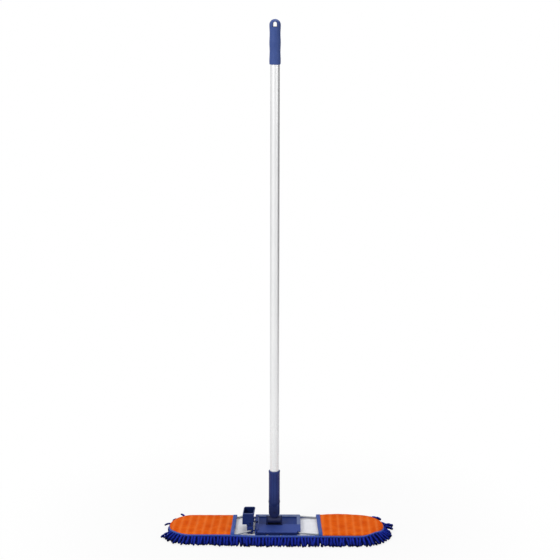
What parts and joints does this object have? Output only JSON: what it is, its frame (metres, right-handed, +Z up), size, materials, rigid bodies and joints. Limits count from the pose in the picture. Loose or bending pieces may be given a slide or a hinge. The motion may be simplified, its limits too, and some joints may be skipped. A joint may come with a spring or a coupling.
{
  "type": "dust mop",
  "caption": "Flat dust mop: chenille cover with pockets over a folding wire-framed head, a foot pedal that releases the fold, a universal joint and a tubular pole with a hanging grip.",
  "frame": {"origin": "on the floor under the middle of the cover", "axes": "+Z up along the pole, +X towards the fixed end of the cover, -Y towards the user's front"},
  "size_m": [0.6627, 0.1928, 1.4285],
  "materials": {
    "blue_plastic": "satin moulded",
    "dark_plastic": "satin moulded",
    "steel": "drawn wire",
    "pole_metal": "satin anodised",
    "backing_cloth": "woven canvas",
    "binding_tape": "woven tape",
    "pocket_mesh": "open knitted mesh",
    "chenille": "looped chenille pile"
  },
  "bodies": {
    "head": {"centre_plate": "blue_plastic", "right_wire": "steel", "fold_pins": "steel", "joint_pin": "steel", "backing_main": "backing_cloth", "backing_fold": "backing_cloth", "binding_main": "binding_tape", "binding_fold": "binding_tape", "right_pocket": "pocket_mesh", "right_pocket_tape": "binding_tape", "chenille_main": "chenille", "chenille_fold": "chenille"},
    "left_wing": {"hinge_bar": "blue_plastic", "left_wire": "steel", "pedal_pin": "steel", "pedal_spring": "steel", "backing_left": "backing_cloth", "binding_left": "binding_tape", "left_pocket": "pocket_mesh", "left_pocket_tape": "binding_tape", "chenille_left": "chenille"},
    "pedal": {"release_pedal": "dark_plastic"},
    "swivel": {"swivel": "dark_plastic"},
    "handle": {"cross_pin": "steel", "pole_socket": "dark_plastic", "pole_tube": "pole_metal", "pole_screw": "steel", "hand_grip": "blue_plastic"}
  },
  "joints": [
    {"name": "handle_fore_aft", "type": "hinge", "parent": "head", "child": "swivel", "pos_m": [-0.0065, 0, 0.037], "axis": [1, 0, 0], "range_deg": [-75, 75]},
    {"name": "handle_side", "type": "hinge", "parent": "swivel", "child": "handle", "pos_m": [-0.0065, 0, 0.062], "axis": [0, 1, 0], "range_deg": [-50, 50]},
    {"name": "wing_fold", "type": "hinge", "parent": "head", "child": "left_wing", "pos_m": [-0.055, 0, 0.0225], "axis": [0, -1, 0], "range_deg": [0, 60], "deforming": ["backing_fold", "binding_fold", "chenille_fold"]},
    {"name": "pedal_press", "type": "hinge", "parent": "left_wing", "child": "pedal", "pos_m": [-0.0743, 0, 0.045], "axis": [0, -1, 0], "range_deg": [0, 15], "stiffness_Nm_per_rad": 0.1, "deforming": ["pedal_spring"]}
  ],
  "couplings": [
    {"joint": "pedal_press", "follows": "wing_fold", "ratio": 0.25}
  ]
}
